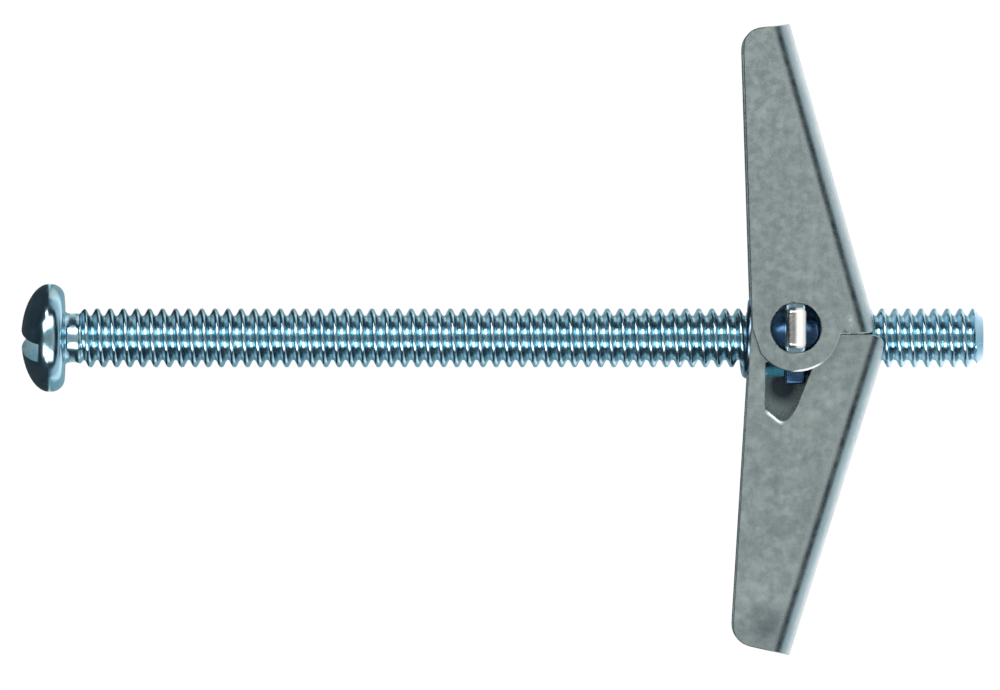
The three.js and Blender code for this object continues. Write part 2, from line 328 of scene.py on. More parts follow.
def head_profile():
    """The dome from its crown, the rounded rim, the bearing face and the fillet to the neck."""
    points = []
    for i in range(DOME_STEPS + 1):
        angle = i / DOME_STEPS * math.pi / 2
        points.append((-RIM_LENGTH - (HEAD_HEIGHT - RIM_LENGTH) * math.cos(angle),
                       HEAD_RADIUS * math.sin(angle)))
    for i in range(1, RIM_STEPS + 1):
        angle = i / RIM_STEPS * math.pi / 2
        points.append((-RIM_LENGTH * (1 - math.sin(angle)),
                       HEAD_RADIUS - RIM_DEPTH * (1 - math.cos(angle))))
    for i in range(FILLET_STEPS + 1):
        angle = i / FILLET_STEPS * math.pi / 2
        points.append((FILLET_RADIUS * (1 - math.cos(angle)),
                       NECK_RADIUS + FILLET_RADIUS * (1 - math.sin(angle))))
    return points


def screw_envelope(x, radius):
    """Plain neck, thread run-out, full thread, and the chamfer at the tip."""
    into_thread = smoothstep((x - NECK_LENGTH) / RUN_OUT)
    radius = NECK_RADIUS + (radius - NECK_RADIUS) * into_thread
    to_end = SCREW_LENGTH - x
    cone = TIP_RADIUS + to_end * (MAJOR_RADIUS - TIP_RADIUS) / TIP_CHAMFER
    return min(radius, cone)


def make_screw(material):
    """Head and threaded rod as one surface, with the driver slot cut across the head."""
    head = head_profile()
    join_x = head[-1][0]
    verts, faces = turned(head)
    rod, rod_faces = thread_surface(join_x, SCREW_LENGTH, MINOR_RADIUS, MAJOR_RADIUS,
                                    screw_envelope)
    offset = len(verts)
    verts += rod
    faces += [tuple(offset + i for i in face) for face in rod_faces]
    faces.append(tuple(len(verts) - COLUMNS + j for j in range(COLUMNS)))
    screw = new_object("screw", verts, faces)
    slot = bar("slot_cutter", (-HEAD_HEIGHT - 1, -SLOT_WIDTH / 2, -2 * HEAD_RADIUS),
               (-HEAD_HEIGHT + SLOT_DEPTH, SLOT_WIDTH / 2, 2 * HEAD_RADIUS), SLOT_ROUND, 2)
    slot.data.transform(Matrix.Rotation(SLOT_TILT, 4, "X"))
    combine(screw, slot, "DIFFERENCE")
    return done(screw, material, 38)


# ---------------------------------------------------------------- wings
class Sheet:
    """Half of a channel wing as a flat blank, and where each point of it goes when bent.

    The blank's coordinates are u, along the web from the pivot, and w, across the section:
    first the flange, then the bend, then the web up to the middle plane.
    """

    def __init__(self, wing):
        self.wing = wing
        self.sin = math.sin(wing["web_lean"])
        self.cos = math.cos(wing["web_lean"])
        self.flange_end = wing["web_distance"] - BEND_RADIUS
        self.bend_end = self.flange_end + MID_BEND * math.pi / 2
        self.bend_z = wing["inner_face"] + SHEET - BEND_RADIUS
        self.middle = self.bend_end + self.bend_z

    def section(self, w):
        """Distance from the pivot toward the web, and height, of the middle surface."""
        if w <= self.flange_end:
            return w, self.bend_z + MID_BEND
        if w <= self.bend_end:
            angle = (w - self.flange_end) / MID_BEND
            return (self.flange_end + MID_BEND * math.sin(angle),
                    self.bend_z + MID_BEND * math.cos(angle))
        return self.flange_end + MID_BEND, self.middle - w

    def flat(self, x, y):
        return Vector((y * self.cos - x * self.sin, x * self.cos + y * self.sin))

    def bent(self, u, w):
        v, z = self.section(w)
        x, y = v * self.cos - u * self.sin, v * self.sin + u * self.cos
        return Vector((x, y, z - self.wing["dent"](x, y)))

    def edge_x(self, y):
        wing = self.wing
        return (-wing["edge_distance"] - y * math.sin(wing["edge_lean"])) / math.cos(
            wing["edge_lean"])

    def tip_u(self, v):
        """Where the end cut crosses a line at distance v."""
        wing = self.wing
        slope = math.tan(wing["tip_slope"])
        web_x = (wing["web_distance"] - wing["tip_height"] * self.sin) / self.cos
        level = wing["tip_height"] - web_x * slope
        return (level + v * (self.cos * slope - self.sin)) / (self.cos + self.sin * slope)

    def web_end_u(self, w):
        """The end of the web beside the pivot, with the notch that clears the screw."""
        wing = self.wing
        v, z = self.section(w)
        corner = wing["end_round"]
        into_corner = max(0.0, v - (wing["web_distance"] - SHEET / 2 - corner))
        y = wing["web_end"] + corner - math.sqrt(corner ** 2 - min(into_corner, corner) ** 2)
        if abs(z) < RELIEF_RADIUS:
            y = max(y, wing["screw_y"] + math.sqrt(RELIEF_RADIUS ** 2 - z * z))
        return (y - v * self.sin) / self.cos

    def outline(self):
        wing = self.wing
        slope = wing["tip_slope"]
        web_x = (wing["web_distance"] - wing["tip_height"] * self.sin) / self.cos
        corner_x = self.edge_x(wing["tip_height"])
        corner_y = wing["tip_height"] - (web_x - corner_x) * math.tan(slope)
        corner = Vector((corner_x, corner_y))
        before = Vector((self.edge_x(corner_y - CORNER_ROUND), corner_y - CORNER_ROUND))
        after = corner + CORNER_ROUND * Vector((math.cos(slope), math.sin(slope)))
        free_start = Vector((self.edge_x(0), 0))
        points = stepped(free_start, before)
        for i in range(CORNER_STEPS):
            t = i / CORNER_STEPS
            points.append(before * (1 - t) ** 2 + corner * 2 * t * (1 - t) + after * t * t)
        flat = [self.flat(p.x, p.y) for p in points]
        flat += stepped(self.flat(after.x, after.y),
                        Vector((self.tip_u(self.flange_end), self.flange_end)))
        across = self.across_stations()
        flat += [Vector((self.tip_u(self.section(w)[0]), w)) for w in across]
        last = Vector((self.web_end_u(self.middle), self.middle))
        flat += stepped(flat.pop(), last)
        flat += [Vector((self.web_end_u(w), w)) for w in reversed(across)]
        ear_x = math.sqrt(wing["ear_radius"] ** 2 - wing["web_end"] ** 2)
        flat += stepped(flat.pop(), self.flat(ear_x, wing["web_end"]))
        ear_end = math.atan2(wing["web_end"], ear_x)
        for i in range(EAR_STEPS + 1):
            angle = ear_end + (EAR_START - ear_end) * i / EAR_STEPS
            x, y = wing["ear_radius"] * math.cos(angle), wing["ear_radius"] * math.sin(angle)
            flat.append(self.flat(x, y))
        last = self.flat(free_start.x, free_start.y)
        flat += stepped(flat.pop(), last)
        return flat

    def across_stations(self):
        stations = [self.flange_end + (self.bend_end - self.flange_end) * i / BEND_ROWS
                    for i in range(BEND_ROWS + 1)]
        web_steps = math.ceil((self.middle - self.bend_end) / EDGE_STEP)
        stations += [self.bend_end + (self.middle - self.bend_end) * i / web_steps
                     for i in range(1, web_steps + 1)]
        return stations


def stepped(a, b):
    """Points from a up to, but not at, b."""
    count = max(1, math.ceil((b - a).length / EDGE_STEP))
    return [a.lerp(b, i / count) for i in range(count)]


def inside(point, polygon):
    x, y = point
    result = False
    previous = polygon[-1]
    for current in polygon:
        if (current[1] > y) != (previous[1] > y):
            t = (y - current[1]) / (previous[1] - current[1])
            if x < current[0] + t * (previous[0] - current[0]):
                result = not result
        previous = current
    return result


def window_outline(sheet):
    """The opening beside the pivot hole in the inner wing's near flange."""
    first, middle, last = WINDOW_FOOT
    points = stepped(WINDOW_TOP_NEAR, WINDOW_LOW) + stepped(WINDOW_LOW, first)
    for i in range(WINDOW_STEPS):
        t = i / WINDOW_STEPS
        points.append(first * (1 - t) ** 2 + middle * 2 * t * (1 - t) + last * t * t)
    points += stepped(last, WINDOW_TOP_FAR) + stepped(WINDOW_TOP_FAR, WINDOW_TOP_NEAR)
    return [sheet.flat(p.x, p.y) for p in points]


def blank_mesh(sheet, holes):
    """The flat blank as well-shaped triangles, by constrained Delaunay triangulation."""
    outline = sheet.outline()
    loops = [outline] + holes
    coords, edges = [], []
    for loop in loops:
        base = len(coords)
        coords += loop
        edges += [(base + i, base + (i + 1) % len(loop)) for i in range(len(loop))]
    low_u, high_u = min(p[0] for p in outline), max(p[0] for p in outline)
    w = min(p[1] for p in outline)
    row = 0
    while w < sheet.middle - 0.1:
        u = low_u + (row % 2) * GRID_STEP / 2
        while u < high_u:
            candidate = Vector((u, w))
            clear = all(
                min((candidate - p).length_squared for p in loop) > (0.3 * GRID_STEP) ** 2
                for loop in loops)
            if clear and inside(candidate, outline) and not any(
                    inside(candidate, hole) for hole in holes):
                coords.append(candidate)
            u += GRID_STEP
        in_bend = sheet.flange_end - GRID_STEP / 2 < w < sheet.bend_end
        w += (sheet.bend_end - sheet.flange_end) / BEND_ROWS if in_bend else GRID_STEP
        row += 1
    on_loop = len(edges)
    points, _, faces, origins, _, _ = geometry.delaunay_2d_cdt(coords, edges, [], 0, 1e-5)
    kept = []
    for face in faces:
        a, b, c = (points[i] for i in face)
        all_on_loops = all(min(origins[i], default=on_loop) < on_loop for i in face)
        if all_on_loops and abs((b - a).cross(c - a)) < SLIVER_AREA:
            continue
        centre = (a + b + c) / 3
        if inside(centre, outline) and not any(inside(centre, hole) for hole in holes):
            kept.append(tuple(face))
    return points, kept


def make_wing(name, wing, side, has_window, material):
    """side is 1 for the wing along +Y and -1 for the one along -Y."""
    sheet = Sheet(wing)
    pivot_hole = [sheet.flat(HOLE_RADIUS * math.cos(a), HOLE_RADIUS * math.sin(a))
                  for a in (2 * math.pi * i / HOLE_POINTS for i in range(HOLE_POINTS))]
    window = [window_outline(sheet)] if has_window else []
    verts, faces = [], []
    for half, holes in ((1, [pivot_hole] + window), (-1, [pivot_hole])):
        points, triangles = blank_mesh(sheet, holes)
        base = len(verts)
        for u, w in points:
            v = sheet.bent(u, w)
            verts.append(Vector((PIVOT.x + v.x, PIVOT.y + side * v.y, half * v.z)))
        faces += [tuple(base + i for i in triangle) for triangle in triangles]
    piece = new_object(name, verts, faces)
    solid = piece.modifiers.new("thickness", "SOLIDIFY")
    solid.thickness = SHEET
    solid.offset = 0
    solid.use_even_offset = True
    bevel = piece.modifiers.new("edges", "BEVEL")
    bevel.width = EDGE_BEVEL
    bevel.segments = 1
    bevel.limit_method = "ANGLE"
    bevel.angle_limit = math.radians(50)
    apply_modifiers(piece)
    return done(piece, material, 30)


# ---------------------------------------------------------------- nut and spring
def make_nut(material):
    """A plate with two tabs and a collar on each side, bored with the screw's thread; the
    tip-side collar is a dark piece standing in for shade seen through the pivot hole.
    """
    half = NUT_THICKNESS / 2
    reach = OUTER_WING["inner_face"] + SHEET + TAB_PROUD
    plate = bar("nut", (PIVOT.x - half, -NUT_HALF_HEIGHT, -NUT_HALF_WIDTH),
                (PIVOT.x + half, NUT_HALF_HEIGHT, NUT_HALF_WIDTH), PLATE_ROUND)
    tabs = bar("tabs", (PIVOT.x - half, PIVOT.y - TAB_HEIGHT / 2, -reach),
               (PIVOT.x + half, PIVOT.y + TAB_HEIGHT / 2, reach), TAB_ROUND, 6)
    start, end = PIVOT.x - half - COLLAR_LENGTH, PIVOT.x + half + TIP_COLLAR_LENGTH
    profile = [(start, 0)] + [(start + a, COLLAR_RADIUS - b) for a, b in COLLAR_ROUNDING]
    profile += [(end - a, COLLAR_RADIUS - b) for a, b in reversed(COLLAR_ROUNDING)] + [(end, 0)]
    collar = new_object("collar", *turned(profile))
    verts, faces = thread_surface(
        start - 1, end + 1, MINOR_RADIUS + THREAD_CLEARANCE,
        MAJOR_RADIUS + THREAD_CLEARANCE, lambda x, radius: radius)
    faces.append(tuple(len(verts) - COLUMNS + j for j in range(COLUMNS)))
    faces.append(tuple(reversed(range(COLUMNS))))
    bore = new_object("bore", verts, faces)
    combine(plate, tabs, "UNION")
    combine(plate, collar, "UNION")
    combine(plate, bore, "DIFFERENCE")
    return done(plate, material, 30)


def wire(name, path, material):
    """A round wire along points, with domed ends."""
    verts = []
    tangents = [(path[min(i + 1, len(path) - 1)] - path[max(i - 1, 0)]).normalized()
                for i in range(len(path))]
    normal = tangents[0].orthogonal().normalized()
    stations = []
    for i, (point, tangent) in enumerate(zip(path, tangents)):
        normal = (normal - tangent * normal.dot(tangent)).normalized()
        stations.append((point, tangent, normal, 1.0))
    point, tangent, normal, _ = stations[0]
    start = [(point - tangent * WIRE_RADIUS * a, tangent, normal, b) for a, b in WIRE_DOME]
    point, tangent, normal, _ = stations[-1]
    end = [(point + tangent * WIRE_RADIUS * a, tangent, normal, b)
           for a, b in reversed(WIRE_DOME)]
    stations = start + stations + end
    for point, tangent, normal, scale in stations:
        side = tangent.cross(normal)
        for j in range(WIRE_SIDES):
            angle = 2 * math.pi * j / WIRE_SIDES
            verts.append(point + WIRE_RADIUS * scale * (
                normal * math.cos(angle) + side * math.sin(angle)))
    faces = ring_faces(len(stations), WIRE_SIDES,
                       lambda i, j: i * WIRE_SIDES + j % WIRE_SIDES)
    faces.append(tuple(reversed(range(WIRE_SIDES))))
    faces.append(tuple(len(verts) - WIRE_SIDES + j for j in range(WIRE_SIDES)))
    return done(new_object(name, verts, faces), material, 60)


def leg_end(wing, side):
    """Where a leg's tip rests inside its wing's web."""
    distance = wing["web_distance"] - SHEET - LEG_TOUCH - WIRE_RADIUS
    lean = wing["web_lean"]
    x = (distance - LEG_HEIGHT * math.sin(lean)) / math.cos(lean)
    return Vector((PIVOT.x + x, PIVOT.y + side * LEG_HEIGHT, LEG_END_Z))


def curve_through(points):
    """A smooth path through points, and where each of them is in it."""
    padded = [2 * points[0] - points[1]] + points + [2 * points[-1] - points[-2]]
    path, places = [], []
    for a, b, c, d in zip(padded, padded[1:], padded[2:], padded[3:]):
        places.append(len(path))
        count = max(1, round((c - b).length / WIRE_STEP))
        for i in range(count):
            t = i / count
            path.append(0.5 * (2 * b + (c - a) * t + (2 * a - 5 * b + 4 * c - d) * t ** 2
                               + (3 * b - a - 3 * c + d) * t ** 3))
    places.append(len(path))
    return path + [points[-1]], places


def make_spring(material):
    """The coil and the roots of both legs as one wire, and the rest of each leg."""
    depth = -COIL_RADIUS
    outer_leg = [Vector((COIL_X + x, y, z * depth)) for x, y, z in OUTER_LEG_BENDS]
    outer_leg.append(leg_end(OUTER_WING, 1))
    inner_leg = [Vector((COIL_X + x, y, z * depth)) for x, y, z in INNER_LEG_BENDS]
    inner_leg.append(leg_end(INNER_WING, -1))
    coil = []
    for i in range(COIL_POINTS + 1):
        angle = 2 * math.pi * i / COIL_POINTS
        coil.append(Vector((COIL_X + COIL_ADVANCE * i / COIL_POINTS,
                            -COIL_RADIUS * math.sin(angle), depth * math.cos(angle))))
    path, places = curve_through(outer_leg[::-1] + coil + inner_leg)
    outer_root, inner_root = places[len(outer_leg) - 1], places[-len(inner_leg)]
    spring = wire("spring_coil", path[outer_root:inner_root + 1], material)
    legs = []
    for name, stretch in (("spring_leg_inner", path[inner_root:]),
                          ("spring_leg_outer", path[outer_root::-1])):
        legs.append((wire(name, stretch, material), stretch[0], stretch[-1]))
    return spring, legs


# ---------------------------------------------------------------- materials
# Radius of the painted shade near the inner wing's tip.
TIP_SHADE_RADIUS = 2.4
# Centre of a painted shadow of the nut, on the inside of the inner wing's far flange.
NUT_SHADOW_CENTRE = Vector((PIVOT.x - 0.9, PIVOT.y - 4.7, -INNER_CLEAR))

# The window's foot runs between these points beside the pivot, and a painted highlight runs
# along its edge.
FOOT_START = Vector((PIVOT.x - 2.5, PIVOT.y - 6.5, INNER_CLEAR + SHEET))
FOOT_END = Vector((PIVOT.x - 1.15, PIVOT.y - 7.55, INNER_CLEAR + SHEET))
WINDOW_HIGHLIGHT_MIDDLE = FOOT_START.lerp(FOOT_END, 0.6)
WINDOW_HIGHLIGHT_WAY = (FOOT_END - FOOT_START).cross(Vector((0, 0, 1))).normalized()
WINDOW_HIGHLIGHT_AT = WINDOW_HIGHLIGHT_MIDDLE.dot(WINDOW_HIGHLIGHT_WAY) + 0.08

# A painted highlight runs along one side of the outer wing's ear edge.
EAR_CENTRE = Vector((PIVOT.x, PIVOT.y, OUTER_WING["inner_face"] + SHEET))
EAR_HIGHLIGHT_WAY = Vector((math.cos(math.radians(-74)), math.sin(math.radians(-74)), 0))
EAR_HIGHLIGHT_RADIUS = 3.48
EAR_HIGHLIGHT_FROM = EAR_CENTRE.dot(EAR_HIGHLIGHT_WAY) + 3.2
EAR_HIGHLIGHT_FULL = EAR_HIGHLIGHT_FROM + 0.15


class Finish:
    """One procedural material, with its pattern tied to the surface in millimetres."""

    def __init__(self, name):
        self.material = bpy.data.materials.new(name)
        self.material.use_nodes = True
        self.nodes = self.material.node_tree.nodes
        self.links = self.material.node_tree.links
        self.shader = self.nodes["Principled BSDF"]
        self.shader.inputs["Metallic"].default_value = 1.0
        self.place = self.nodes.new("ShaderNodeTexCoord").outputs["Object"]

    def mapped(self, stretch):
        """Object coordinates in millimetres, finer where stretch is above 1."""
        node = self.nodes.new("ShaderNodeMapping")
        node.inputs["Scale"].default_value = [s / MM for s in stretch]
        self.links.new(self.place, node.inputs["Vector"])
        return node.outputs["Vector"]

    def noise(self, place, size, detail, roughness=0.55):
        node = self.nodes.new("ShaderNodeTexNoise")
        node.inputs["Scale"].default_value = size
        node.inputs["Detail"].default_value = detail
        node.inputs["Roughness"].default_value = roughness
        self.links.new(place, node.inputs["Vector"])
        return node.outputs["Fac"]

    def span(self, source, low, high, to_low=0.0, to_high=1.0):
        """Maps low..high to to_low..to_high, and holds the ends."""
        node = self.nodes.new("ShaderNodeMapRange")
        for key, value in (("From Min", low), ("From Max", high),
                           ("To Min", to_low), ("To Max", to_high)):
            node.inputs[key].default_value = value
        self.links.new(source, node.inputs["Value"])
        return node.outputs["Result"]

    def mix(self, factor, first, second):
        """Blends two colours; each is a colour or another node's output."""
        node = self.nodes.new("ShaderNodeMix")
        node.data_type = "RGBA"
        self.links.new(factor, node.inputs["Factor"])
        for key, value in (("A", first), ("B", second)):
            if isinstance(value, tuple):
                node.inputs[key].default_value = (*value, 1)
            else:
                self.links.new(value, node.inputs[key])
        return node.outputs["Result"]

    def along(self, direction):
        """How far along a direction the surface lies, in metres."""
        node = self.nodes.new("ShaderNodeVectorMath")
        node.operation = "DOT_PRODUCT"
        self.links.new(self.place, node.inputs[0])
        node.inputs[1].default_value = direction
        return node.outputs["Value"]

    def distance(self, value, centre):
        """How far a coordinate is from a value, either way."""
        shift = self.nodes.new("ShaderNodeMath")
        shift.operation = "SUBTRACT"
        shift.inputs[1].default_value = centre
        self.links.new(value, shift.inputs[0])
        size = self.nodes.new("ShaderNodeMath")
        size.operation = "ABSOLUTE"
        self.links.new(shift.outputs["Value"], size.inputs[0])
        return size.outputs["Value"]

    def distance_from(self, point):
        """How far the surface is from a point given in metres."""
        node = self.nodes.new("ShaderNodeVectorMath")
        node.operation = "DISTANCE"
        self.links.new(self.place, node.inputs[0])
        node.inputs[1].default_value = point
        return node.outputs["Value"]

    def both(self, first, second):
        """Where two masks overlap."""
        node = self.nodes.new("ShaderNodeMath")
        node.operation = "MULTIPLY"
        self.links.new(first, node.inputs[0])
        self.links.new(second, node.inputs[1])
        return node.outputs["Value"]

    def either(self, first, second):
        """Where at least one of two masks is."""
        node = self.nodes.new("ShaderNodeMath")
        node.operation = "MAXIMUM"
        self.links.new(first, node.inputs[0])
        self.links.new(second, node.inputs[1])
        return node.outputs["Value"]

    def near(self, point, inside, outside):
        """A soft spot about a point, all in millimetres."""
        return self.span(self.distance_from(point * MM), inside * MM, outside * MM, 1.0, 0.0)

    def window_highlight_line(self):
        """The line of the window's slanted foot, on the near face of the inner wing, where a
        painted highlight runs.
        """
        off_line = self.distance(self.along(WINDOW_HIGHLIGHT_WAY), WINDOW_HIGHLIGHT_AT * MM)
        return self.span(off_line, 0.08 * MM, 0.24 * MM, 1.0, 0.0)

    def plate(self, colour, roughness, grain, grain_size=5.0, depth=0.02):
        """Finishes the shader: plated metal with uneven gloss and a fine rolled grain."""
        place = self.mapped((1, 1, 1))
        self.links.new(colour, self.shader.inputs["Base Color"])
        gloss = self.span(self.noise(place, 1.3, 4), 0.3, 0.7, roughness - 0.05,
                          roughness + 0.06)
        self.links.new(gloss, self.shader.inputs["Roughness"])
        bump = self.nodes.new("ShaderNodeBump")
        bump.inputs["Strength"].default_value = grain
        bump.inputs["Distance"].default_value = depth * MM
        self.links.new(self.noise(place, grain_size, 6, 0.65), bump.inputs["Height"])
        self.links.new(bump.outputs["Normal"], self.shader.inputs["Normal"])
        return self.material


def wing_finish(tip_shade_place):
    """Dull grey-green zinc on pressed sheet, clouded and spangled, with painted shade near a tip
    and under the nut, and painted highlights along the window's foot and the ear's edge.
    """
    finish = Finish("wing_zinc")
    place = finish.mapped((1, 1, 1))
    rolled = finish.mapped((1.4, 0.25, 1.4))
    clouds = finish.span(finish.noise(place, 0.22, 5), 0.34, 0.68)
    colour = finish.mix(clouds, (0.44, 0.5, 0.49), (0.53, 0.59, 0.57))
    lines = finish.span(finish.noise(rolled, 1.6, 4), 0.42, 0.72, 0.0, 0.35)
    colour = finish.mix(lines, colour, (0.38, 0.43, 0.42))
    specks = finish.span(finish.noise(place, 2.2, 6, 0.7), 0.5, 0.75, 0.0, 0.6)
    colour = finish.mix(specks, colour, (0.6, 0.66, 0.65))
    # A dark patch of painted shade near the inner wing's tip.
    tip_shade = finish.span(finish.distance_from(tip_shade_place), 0.0, TIP_SHADE_RADIUS * MM, 0.6, 0.0)
    colour = finish.mix(tip_shade, colour, (0.14, 0.16, 0.2))
    # A near-black painted shadow of the nut on the inner wing.
    nut_shadow_distance = finish.distance_from(NUT_SHADOW_CENTRE * MM)
    nut_shadow = finish.span(nut_shadow_distance, 0.8 * MM, 1.8 * MM, 0.88, 0.0)
    colour = finish.mix(nut_shadow, colour, (0.02, 0.03, 0.05))
    # Painted highlights, white and less metallic: along the window's foot and along one side of
    # the outer wing's ear.
    window_highlight = finish.both(finish.window_highlight_line(), finish.near(WINDOW_HIGHLIGHT_MIDDLE, 0.55, 0.95))
    # A painted highlight along one side of the outer wing's ear edge.
    ring = finish.distance(finish.distance_from(EAR_CENTRE * MM), EAR_HIGHLIGHT_RADIUS * MM)
    one_side = finish.span(finish.along(EAR_HIGHLIGHT_WAY), EAR_HIGHLIGHT_FROM * MM, EAR_HIGHLIGHT_FULL * MM)
    ear_highlight = finish.both(finish.span(ring, 0.08 * MM, 0.14 * MM, 1.0, 0.0), one_side)
    for bright in (window_highlight, ear_highlight):
        colour = finish.mix(bright, colour, (0.95, 0.98, 0.98))
    metallic = finish.span(finish.either(window_highlight, ear_highlight), 0, 1, 1.0, 0.15)
    finish.links.new(metallic, finish.shader.inputs["Metallic"])
    return finish.plate(colour, 0.27, 0.4)


def screw_finish():
    """Bright bluish zinc on a rolled thread."""
    finish = Finish("screw_zinc")
    place = finish.mapped((1, 1, 1))
    clouds = finish.span(finish.noise(place, 0.6, 5), 0.35, 0.68)
    colour = finish.mix(clouds, (0.34, 0.55, 0.64), (0.48, 0.67, 0.75))
    specks = finish.span(finish.noise(place, 3.0, 3), 0.62, 0.76, 0.0, 0.5)
    colour = finish.mix(specks, colour, (0.75, 0.84, 0.87))
    return finish.plate(colour, 0.17, 0.25)


def nut_finish():
    """Dark blue zinc on a stamped nut, darkened further as painted shade, with a painted
    highlight on the plate by the pivot hole, a painted sheen on the collar's window side, and
    the tabs' ends worn pale.
    """
    finish = Finish("nut_zinc")
    place = finish.mapped((1, 1, 1))
    # Dark blue zinc, made darker than the zinc itself as painted shade for the channel between
    # the wings.
    clouds = finish.span(finish.noise(place, 0.7, 5), 0.35, 0.68)
    colour = finish.mix(clouds, (0.03, 0.06, 0.12), (0.06, 0.14, 0.25))
    reach = finish.distance(finish.along((0, 0, 1)), 0.0)
    along = finish.along((1, 0, 0))
    # A painted highlight, pale blue, on the plate and tab beside the pivot hole.
    on_plate = finish.span(finish.distance(along, PIVOT.x * MM), 0.78 * MM, 0.84 * MM, 1.0, 0.0)
    corner = (PIVOT.x * MM, PIVOT.y * MM, NUT_HALF_WIDTH * MM)
    by_hole = finish.span(finish.distance_from(corner), 2.1 * MM, 2.4 * MM, 1.0, 0.0)
    hole_highlight = finish.both(on_plate, by_hole)
    colour = finish.mix(hole_highlight, colour, (0.55, 0.75, 0.9))
    # A painted sheen, blue-green and less metallic, on the collar's side toward the window.
    collar_side = finish.span(along, (PIVOT.x - 0.95) * MM, (PIVOT.x - 0.85) * MM, 1.0, 0.0)
    window_side = finish.span(finish.along((0, 1, 0)), -2.6 * MM, -2.2 * MM, 1.0, 0.0)
    window_sheen = finish.both(collar_side, window_side)
    colour = finish.mix(window_sheen, colour, (0.05, 0.3, 0.42))
    wear_side = finish.span(along, (PIVOT.x - 0.15) * MM, (PIVOT.x + 0.1) * MM)
    pale = finish.mix(wear_side, (0.46, 0.45, 0.44), (0.95, 0.92, 0.86))
    tab_end = OUTER_WING["inner_face"] + SHEET
    worn = finish.span(reach, (tab_end - 0.6) * MM, (tab_end - 0.2) * MM)
    metallic = finish.span(finish.either(finish.both(worn, wear_side), window_sheen), 0, 1, 1.0, 0.2)
    finish.links.new(metallic, finish.shader.inputs["Metallic"])
    return finish.plate(finish.mix(worn, colour, pale), 0.24, 0.3)


def spring_finish():
    """Dark blue-grey drawn wire, with fine lines along it."""
    finish = Finish("spring_wire")
    place = finish.mapped((1, 1, 1))
    clouds = finish.span(finish.noise(place, 1.0, 5), 0.35, 0.68)
    colour = finish.mix(clouds, (0.1, 0.16, 0.22), (0.2, 0.28, 0.36))
    return finish.plate(colour, 0.22, 0.3, 8.0)


# ---------------------------------------------------------------- stage
FLOOR_HALF = 0.9
FLOOR_HEIGHT = -0.07
FLOOR_STRENGTH = 1.02
FLOOR_GLOW_SPAN = (-0.03, 0.57)
SIDE_GLOW_SPAN = (0.0, 0.4)
SIDE_GLOW_START = (0.0, 0.02)
SIDES_SPAN = (-0.05, 0.4)

LIGHT_DISTANCE = 0.45
STRIP_X, STRIP_SIZE, STRIP_RADIANCE = -0.06, (0.58, 0.17), 5.0
BOX_X, BOX_SIZE, BOX_RADIANCE = -0.12, (0.1, 0.12), 4.8

LENS = 500
SENSOR_WIDTH = 36
FRAME_MARGIN = 1.0405
CAMERA_SHIFT_X, CAMERA_SHIFT_Y = -0.18, -0.4


def make_stage():
    """A plain white table to the camera, which reflections see as a darker, patterned one."""
    floor_mesh = bpy.data.meshes.new("floor")
    half, drop = FLOOR_HALF, FLOOR_HEIGHT
    floor_mesh.from_pydata([(-half, -half, drop), (half, -half, drop), (half, half, drop),
                            (-half, half, drop)], [], [(0, 1, 2, 3)])
    floor = bpy.data.objects.new("floor", floor_mesh)
    bpy.context.scene.collection.objects.link(floor)
    paper = bpy.data.materials.new("paper")
    paper.use_nodes = True
    nodes, links = paper.node_tree.nodes, paper.node_tree.links
    white = nodes.new("ShaderNodeEmission")
    white.inputs["Color"].default_value = (1, 1, 1, 1)
    white.inputs["Strength"].default_value = FLOOR_STRENGTH
    place = split_place(nodes, links, "Object")
    glow = nodes.new("ShaderNodeMix")
    glow.data_type = "RGBA"
    glow.blend_type = "LIGHTEN"
    beside = nodes.new("ShaderNodeMapRange")
    beside.inputs["From Min"].default_value = SIDE_GLOW_START[0]
    beside.inputs["From Max"].default_value = SIDE_GLOW_START[1]
    links.new(place["X"], beside.inputs["Value"])
    links.new(beside.outputs["Result"], glow.inputs["Factor"])
    links.new(by_value(nodes, links, place["X"], FLOOR_GLOW, *FLOOR_GLOW_SPAN), glow.inputs["A"])
    links.new(by_value(nodes, links, place["Y"], SIDE_GLOW, *SIDE_GLOW_SPAN), glow.inputs["B"])
    dim = nodes.new("ShaderNodeEmission")
    links.new(glow.outputs["Result"], dim.inputs["Color"])
    ray = nodes.new("ShaderNodeLightPath")
    mix = nodes.new("ShaderNodeMixShader")
    links.new(ray.outputs["Is Glossy Ray"], mix.inputs["Fac"])
    links.new(white.outputs["Emission"], mix.inputs[1])
    links.new(dim.outputs["Emission"], mix.inputs[2])
    links.new(mix.outputs["Shader"], nodes["Material Output"].inputs["Surface"])
    floor_mesh.materials.append(paper)


def split_place(nodes, links, coordinates):
    """The three parts of a texture coordinate."""
    place = nodes.new("ShaderNodeTexCoord")
    split = nodes.new("ShaderNodeSeparateXYZ")
    links.new(place.outputs[coordinates], split.inputs["Vector"])
    return split.outputs


def by_value(nodes, links, value, stops, low, high):
    """A colour ramp over low..high of a value."""
    span = nodes.new("ShaderNodeMapRange")
    span.inputs["From Min"].default_value = low
    span.inputs["From Max"].default_value = high
    links.new(value, span.inputs["Value"])
    ramp = nodes.new("ShaderNodeValToRGB")
    elements = ramp.color_ramp.elements
    while len(elements) < len(stops):
        elements.new(0.5)
    for element, (position, colour) in zip(elements, stops):
        element.position = position
        element.color = (*colour, 1)
    links.new(span.outputs["Result"], ramp.inputs["Fac"])
    return ramp.outputs["Color"]


